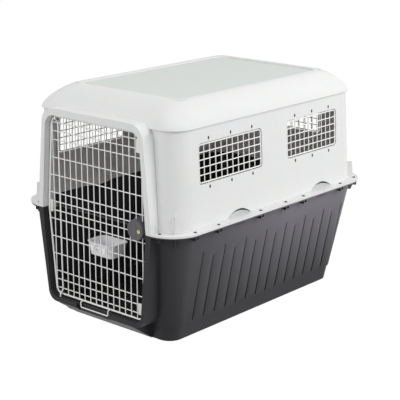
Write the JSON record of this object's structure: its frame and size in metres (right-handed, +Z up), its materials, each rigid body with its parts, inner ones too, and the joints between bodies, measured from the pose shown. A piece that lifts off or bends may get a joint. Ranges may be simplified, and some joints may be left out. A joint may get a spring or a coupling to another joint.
{
  "type": "plastic dog carrier",
  "caption": "Large two-shell plastic dog carrier with wire window grilles, a swinging wire door with a turning multi-point lock and a hang-on feeding cup",
  "frame": {"origin": "on the floor, under the middle of the carrier's bounding box", "axes": "+X to the right as seen from the door, +Y from the door to the back, +Z up"},
  "size_m": [0.7, 1.01, 0.756],
  "materials": {
    "light_shell": "satin moulded",
    "dark_shell": "satin moulded",
    "coated_wire": "pale coated steel wire",
    "fastener_steel": "dull zinc",
    "rod_steel": "dark coated",
    "dark_plastic": "satin",
    "light_plastic": "satin",
    "brass": "polished",
    "clear_cup": "translucent moulded"
  },
  "bodies": {
    "carrier": {"bottom_shell": "dark_shell", "top_shell": "light_shell", "flange_bolts": "fastener_steel", "flange_nuts": "fastener_steel", "grille_right_front": "coated_wire", "grille_left_front": "coated_wire", "grille_right_rear": "coated_wire", "grille_left_rear": "coated_wire", "grille_back": "coated_wire"},
    "door": {"door_frame_wire": "coated_wire", "door_upright_wires": "coated_wire", "door_cross_wires": "coated_wire", "door_hinge_wire": "coated_wire", "door_stop_loop": "coated_wire", "lock_case": "dark_plastic", "lock_cover": "dark_plastic", "lock_front_plate": "dark_plastic", "upper_rod_guide": "light_plastic", "lower_rod_guide": "light_plastic", "side_rod_guide": "light_plastic"},
    "knob": {"lock_knob": "dark_plastic", "lock_cam": "dark_plastic"},
    "key_cylinder": {"lock_cylinder": "brass"},
    "upper_rod": {"upper_lock_rod": "rod_steel"},
    "lower_rod": {"lower_lock_rod": "rod_steel"},
    "side_rod": {"side_lock_rod": "rod_steel"},
    "cup": {"feeding_cup": "clear_cup"}
  },
  "joints": [
    {"name": "door_swing", "type": "hinge", "parent": "carrier", "child": "door", "pos_m": [-0.16965, -0.495, 0.374], "axis": [0, 0, -1], "range_deg": [0, 120]},
    {"name": "knob_turn", "type": "hinge", "parent": "door", "child": "knob", "pos_m": [0.1827, -0.49, 0.3745], "axis": [0, 1, 0], "range_deg": [-1, 91]},
    {"name": "upper_rod_slide", "type": "slide", "parent": "door", "child": "upper_rod", "axis": [0, 0, 1], "range_m": [-0.0002, 0.0142]},
    {"name": "lower_rod_slide", "type": "slide", "parent": "door", "child": "lower_rod", "axis": [0, 0, -1], "range_m": [-0.0002, 0.0142]},
    {"name": "side_rod_slide", "type": "slide", "parent": "door", "child": "side_rod", "axis": [-1, 0, 0], "range_m": [0, 0.014]},
    {"name": "key_turn", "type": "hinge", "parent": "knob", "child": "key_cylinder", "pos_m": [0.1987, -0.5, 0.3725], "axis": [0, 1, 0], "range_deg": [0, 90]},
    {"name": "cup_lift", "type": "slide", "parent": "door", "child": "cup", "axis": [0, 0, 1], "range_m": [0, 0.016]}
  ],
  "couplings": [
    {"joint": "knob_turn", "follows": "side_rod_slide", "rad_per_m": 112.2},
    {"joint": "upper_rod_slide", "follows": "side_rod_slide", "ratio": 1},
    {"joint": "lower_rod_slide", "follows": "side_rod_slide", "ratio": 1}
  ]
}
